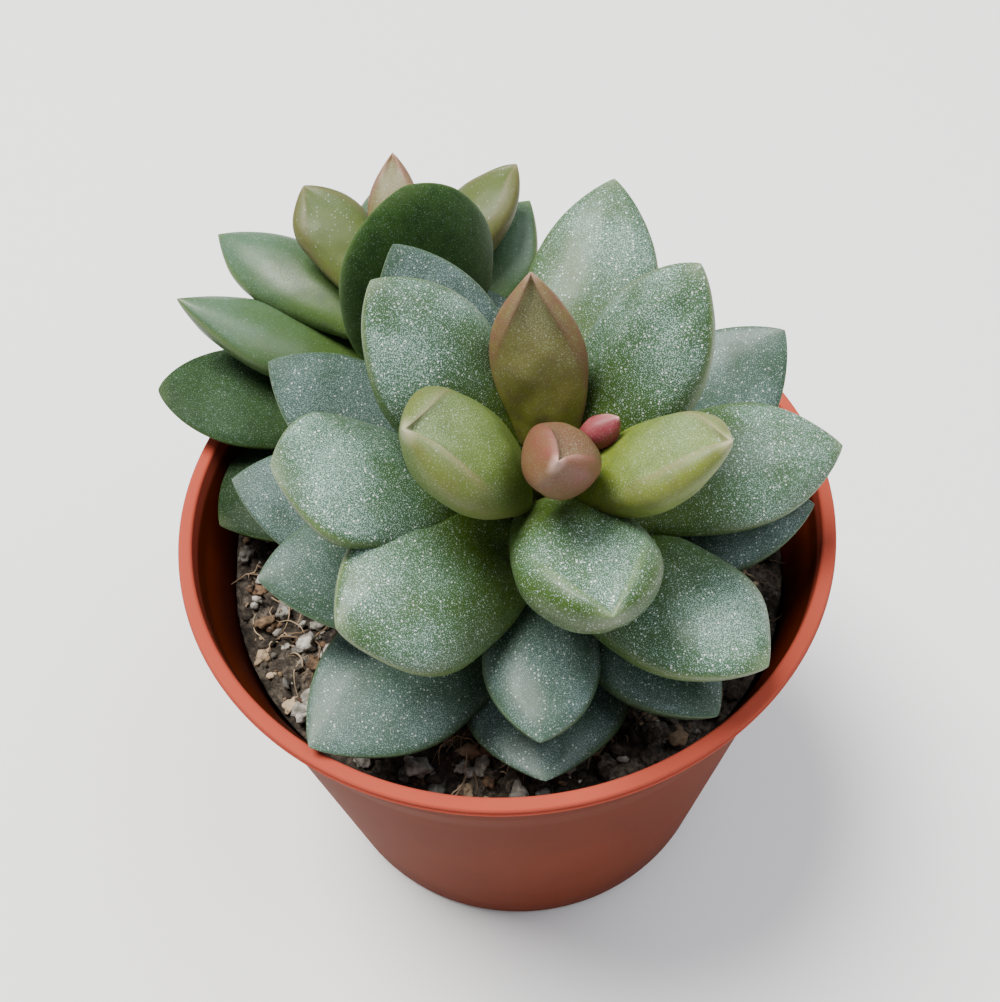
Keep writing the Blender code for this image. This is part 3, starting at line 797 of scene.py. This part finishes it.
def buildLeaf(name, stem, kind, tint, own):
    size = measureLeaf(name, stem)
    size.update(leafLooks[kind])
    size["tint"] = tint
    size.update(own)
    if "aim" in size:
        aimed(size, *size["aim"])
    toBack = math.copysign(1, size["along"].cross(size["face"]).y)
    tilt = Matrix.Rotation(math.radians(size["roll"]) * toBack, 3, size["along"])
    size["side"], size["face"] = tilt @ size["side"], tilt @ size["face"]
    size["base"] = size["base"] + Vector(size["move"]) * mm
    size["half"] *= size["wide"]
    size["above"] *= size["up"]
    size["below"] *= size["down"]
    dice = random.Random(name)
    shift = Vector((dice.uniform(0, 50), dice.uniform(0, 50), dice.uniform(0, 50)))
    rings = 64 if size["length"] > 8 * mm else 40
    work = bmesh.new()
    bmesh.ops.create_uvsphere(work, u_segments=rings, v_segments=rings, radius=1.0)
    layers = {key: work.verts.layers.float.new(key) for key in ("along", "margin", "upper", "tint", "ridge")}
    for vert in work.verts:
        # the ball's top becomes the base, its bottom the tip, and its meridians run along the leaf
        ring = round(vert.co.angle(Vector((0, 0, 1))) * rings / math.pi)
        corner = round(math.atan2(vert.co.y, vert.co.x) * rings / math.tau) % rings if 0 < ring < rings else 0
        share = 0.5 - 0.5 * math.cos(math.pi * ring / rings)
        turn = math.tau * corner / rings
        x, y, z, ridge = leafShape(size, share, turn, shift)
        vert.co = size["base"] + size["along"] * x + size["side"] * y + size["face"] * z
        vert[layers["along"]] = share
        vert[layers["margin"]] = abs(math.sin(turn)) ** 0.8
        vert[layers["upper"]] = 0.5 + 0.5 * math.sin(turn)
        vert[layers["tint"]] = size["tint"]
        vert[layers["ridge"]] = ridge
    piece = makeObject(name.replace("_leaf_", "Leaf"), work, leafMaterials[kind])
    return stand(piece, name)


leafKinds = {
    "main_leaf_01": "bud", "main_leaf_02": "pink", "side_leaf_01": "bud", "main_leaf_05": "blush",
    "side_leaf_02": "blush", "main_leaf_03": "young", "main_leaf_04": "young", "side_leaf_03": "dull",
    "side_leaf_04": "dull", "side_leaf_08": "shade", "side_leaf_12": "shade", "side_leaf_14": "shade",
}
leafOwn = {
    "main_leaf_01": {"aim": (260, 47, -30, (0.5, 0.3, 0.6))},
    "main_leaf_03": {"roll": 14, "tint": 0.9},
    "main_leaf_04": {"roll": 14, "tint": 0.1},
    "main_leaf_05": {"tint": 0.3},
    "main_leaf_06": {
        "move": (0, 0.3, 0.4), "crisp": 0.1, "facet": 0.17, "wide": 1.02, "up": 1.3, "down": 1.15,
        "neck": 0.62, "point": 2.4,
    },
    "main_leaf_08": {"dents": 0.07},
    "main_leaf_11": {"neck": 0.12, "widest": 0.74, "wide": 1.02, "up": 1.2, "move": (-0.3, 1.2, -1.4)},
    "main_leaf_14": {"wide": 1.26, "up": 1.9, "widest": 0.52, "move": (-0.2, -0.9, 1.7)},
    "side_leaf_01": {"aim": (215, 80, 0, (1.2, 0.5, -2.5)), "wide": 0.9},
    "side_leaf_02": {"tint": 1.0, "wide": 0.9},
    # on the shaded kind the tint sets how deep the painted shade is
    "side_leaf_08": {"tint": 0.0, "point": 2.8, "blunt": 0.66},
    "side_leaf_10": {"point": 1.6, "blunt": 1.0},
    "side_leaf_12": {"tint": 0.6, "blunt": 0.7},
    "side_leaf_14": {"tint": 0.95, "move": (0, 0, 0.6)},
}


def leafKind(name, place):
    if name in leafKinds:
        return leafKinds[name]
    if name.startswith("side"):
        return "gloss"
    return "mature" if place < 14 and name != "main_leaf_13" else "old"


leaves = []
for rosette in ("main", "side"):
    names = sorted(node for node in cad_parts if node.startswith(rosette + "_leaf_"))
    for place, name in enumerate(names):
        kind = leafKind(name, place)
        leaves.append(buildLeaf(name, stems[rosette], kind, chance.random(), leafOwn.get(name, {})))
print("leaves ready", len(leaves), sum(len(leaf.data.polygons) for leaf in leaves))

# matt white paper, six metres wide
work = bmesh.new()
bmesh.ops.create_grid(work, x_segments=1, y_segments=1, size=3.0)
floorMaterial, tree, shader = newMaterial("whitePaperFloor", 0.9, 1.45)
shader.inputs["Base Color"].default_value = hexColour("F4F4F4")
floor = makeObject("floor", work, floorMaterial)
if floor.data.polygons[0].normal.z < 0:
    floor.data.flip_normals()

world = bpy.data.worlds.new("softRoom")
world.use_nodes = True
world.node_tree.nodes["Background"].inputs["Color"].default_value = hexColour("F1F4F8")
world.node_tree.nodes["Background"].inputs["Strength"].default_value = 0.46
bpy.context.scene.world = world


def areaLight(name, place, aim, size, energy, colour):
    lamp = bpy.data.lights.new(name, "AREA")
    lamp.shape = "DISK"
    lamp.size = size
    lamp.energy = energy
    lamp.color = hexColour(colour)[:3]
    item = bpy.data.objects.new(name, lamp)
    item.location = place
    item.rotation_euler = (Vector(aim) - Vector(place)).to_track_quat("-Z", "Y").to_euler()
    bpy.context.scene.collection.objects.link(item)


areaLight("windowLight", (-0.24, 0.14, 0.78), (0, 0, 0.04), 0.4, 14.5, "FFFCF6")
areaLight("skyFill", (0.35, 0.05, 0.75), (0, 0, 0.04), 0.6, 4.0, "F4F8FF")

# the camera looks down at the middle of the rim, a little rolled
view = {
    "elevation": 53.3, "roll": -4.2, "distance": 96.9 * mm, "right": -0.31 * mm, "up": -0.2 * mm,
    "lens": 41.3, "sensor": 36,
}
lift = math.radians(view["elevation"])
roll = math.radians(view["roll"])
back = Vector((0, -math.cos(lift), math.sin(lift)))
levelRight = Vector((1, 0, 0))
levelUp = back.cross(levelRight)
right = levelRight * math.cos(roll) + levelUp * math.sin(roll)
upward = levelUp * math.cos(roll) - levelRight * math.sin(roll)
eye = Vector((0, 0, topZ)) + right * view["right"] + upward * view["up"] + back * view["distance"]
cameraData = bpy.data.cameras.new("camera")
cameraData.lens = view["lens"]
cameraData.sensor_width = view["sensor"]
cameraData.clip_start = 0.005
cameraData.clip_end = 20
camera = bpy.data.objects.new("camera", cameraData)
camera.matrix_world = Matrix((
    (right.x, upward.x, back.x, eye.x), (right.y, upward.y, back.y, eye.y),
    (right.z, upward.z, back.z, eye.z), (0, 0, 0, 1),
))
bpy.context.scene.collection.objects.link(camera)
bpy.context.scene.camera = camera
print("stage ready")
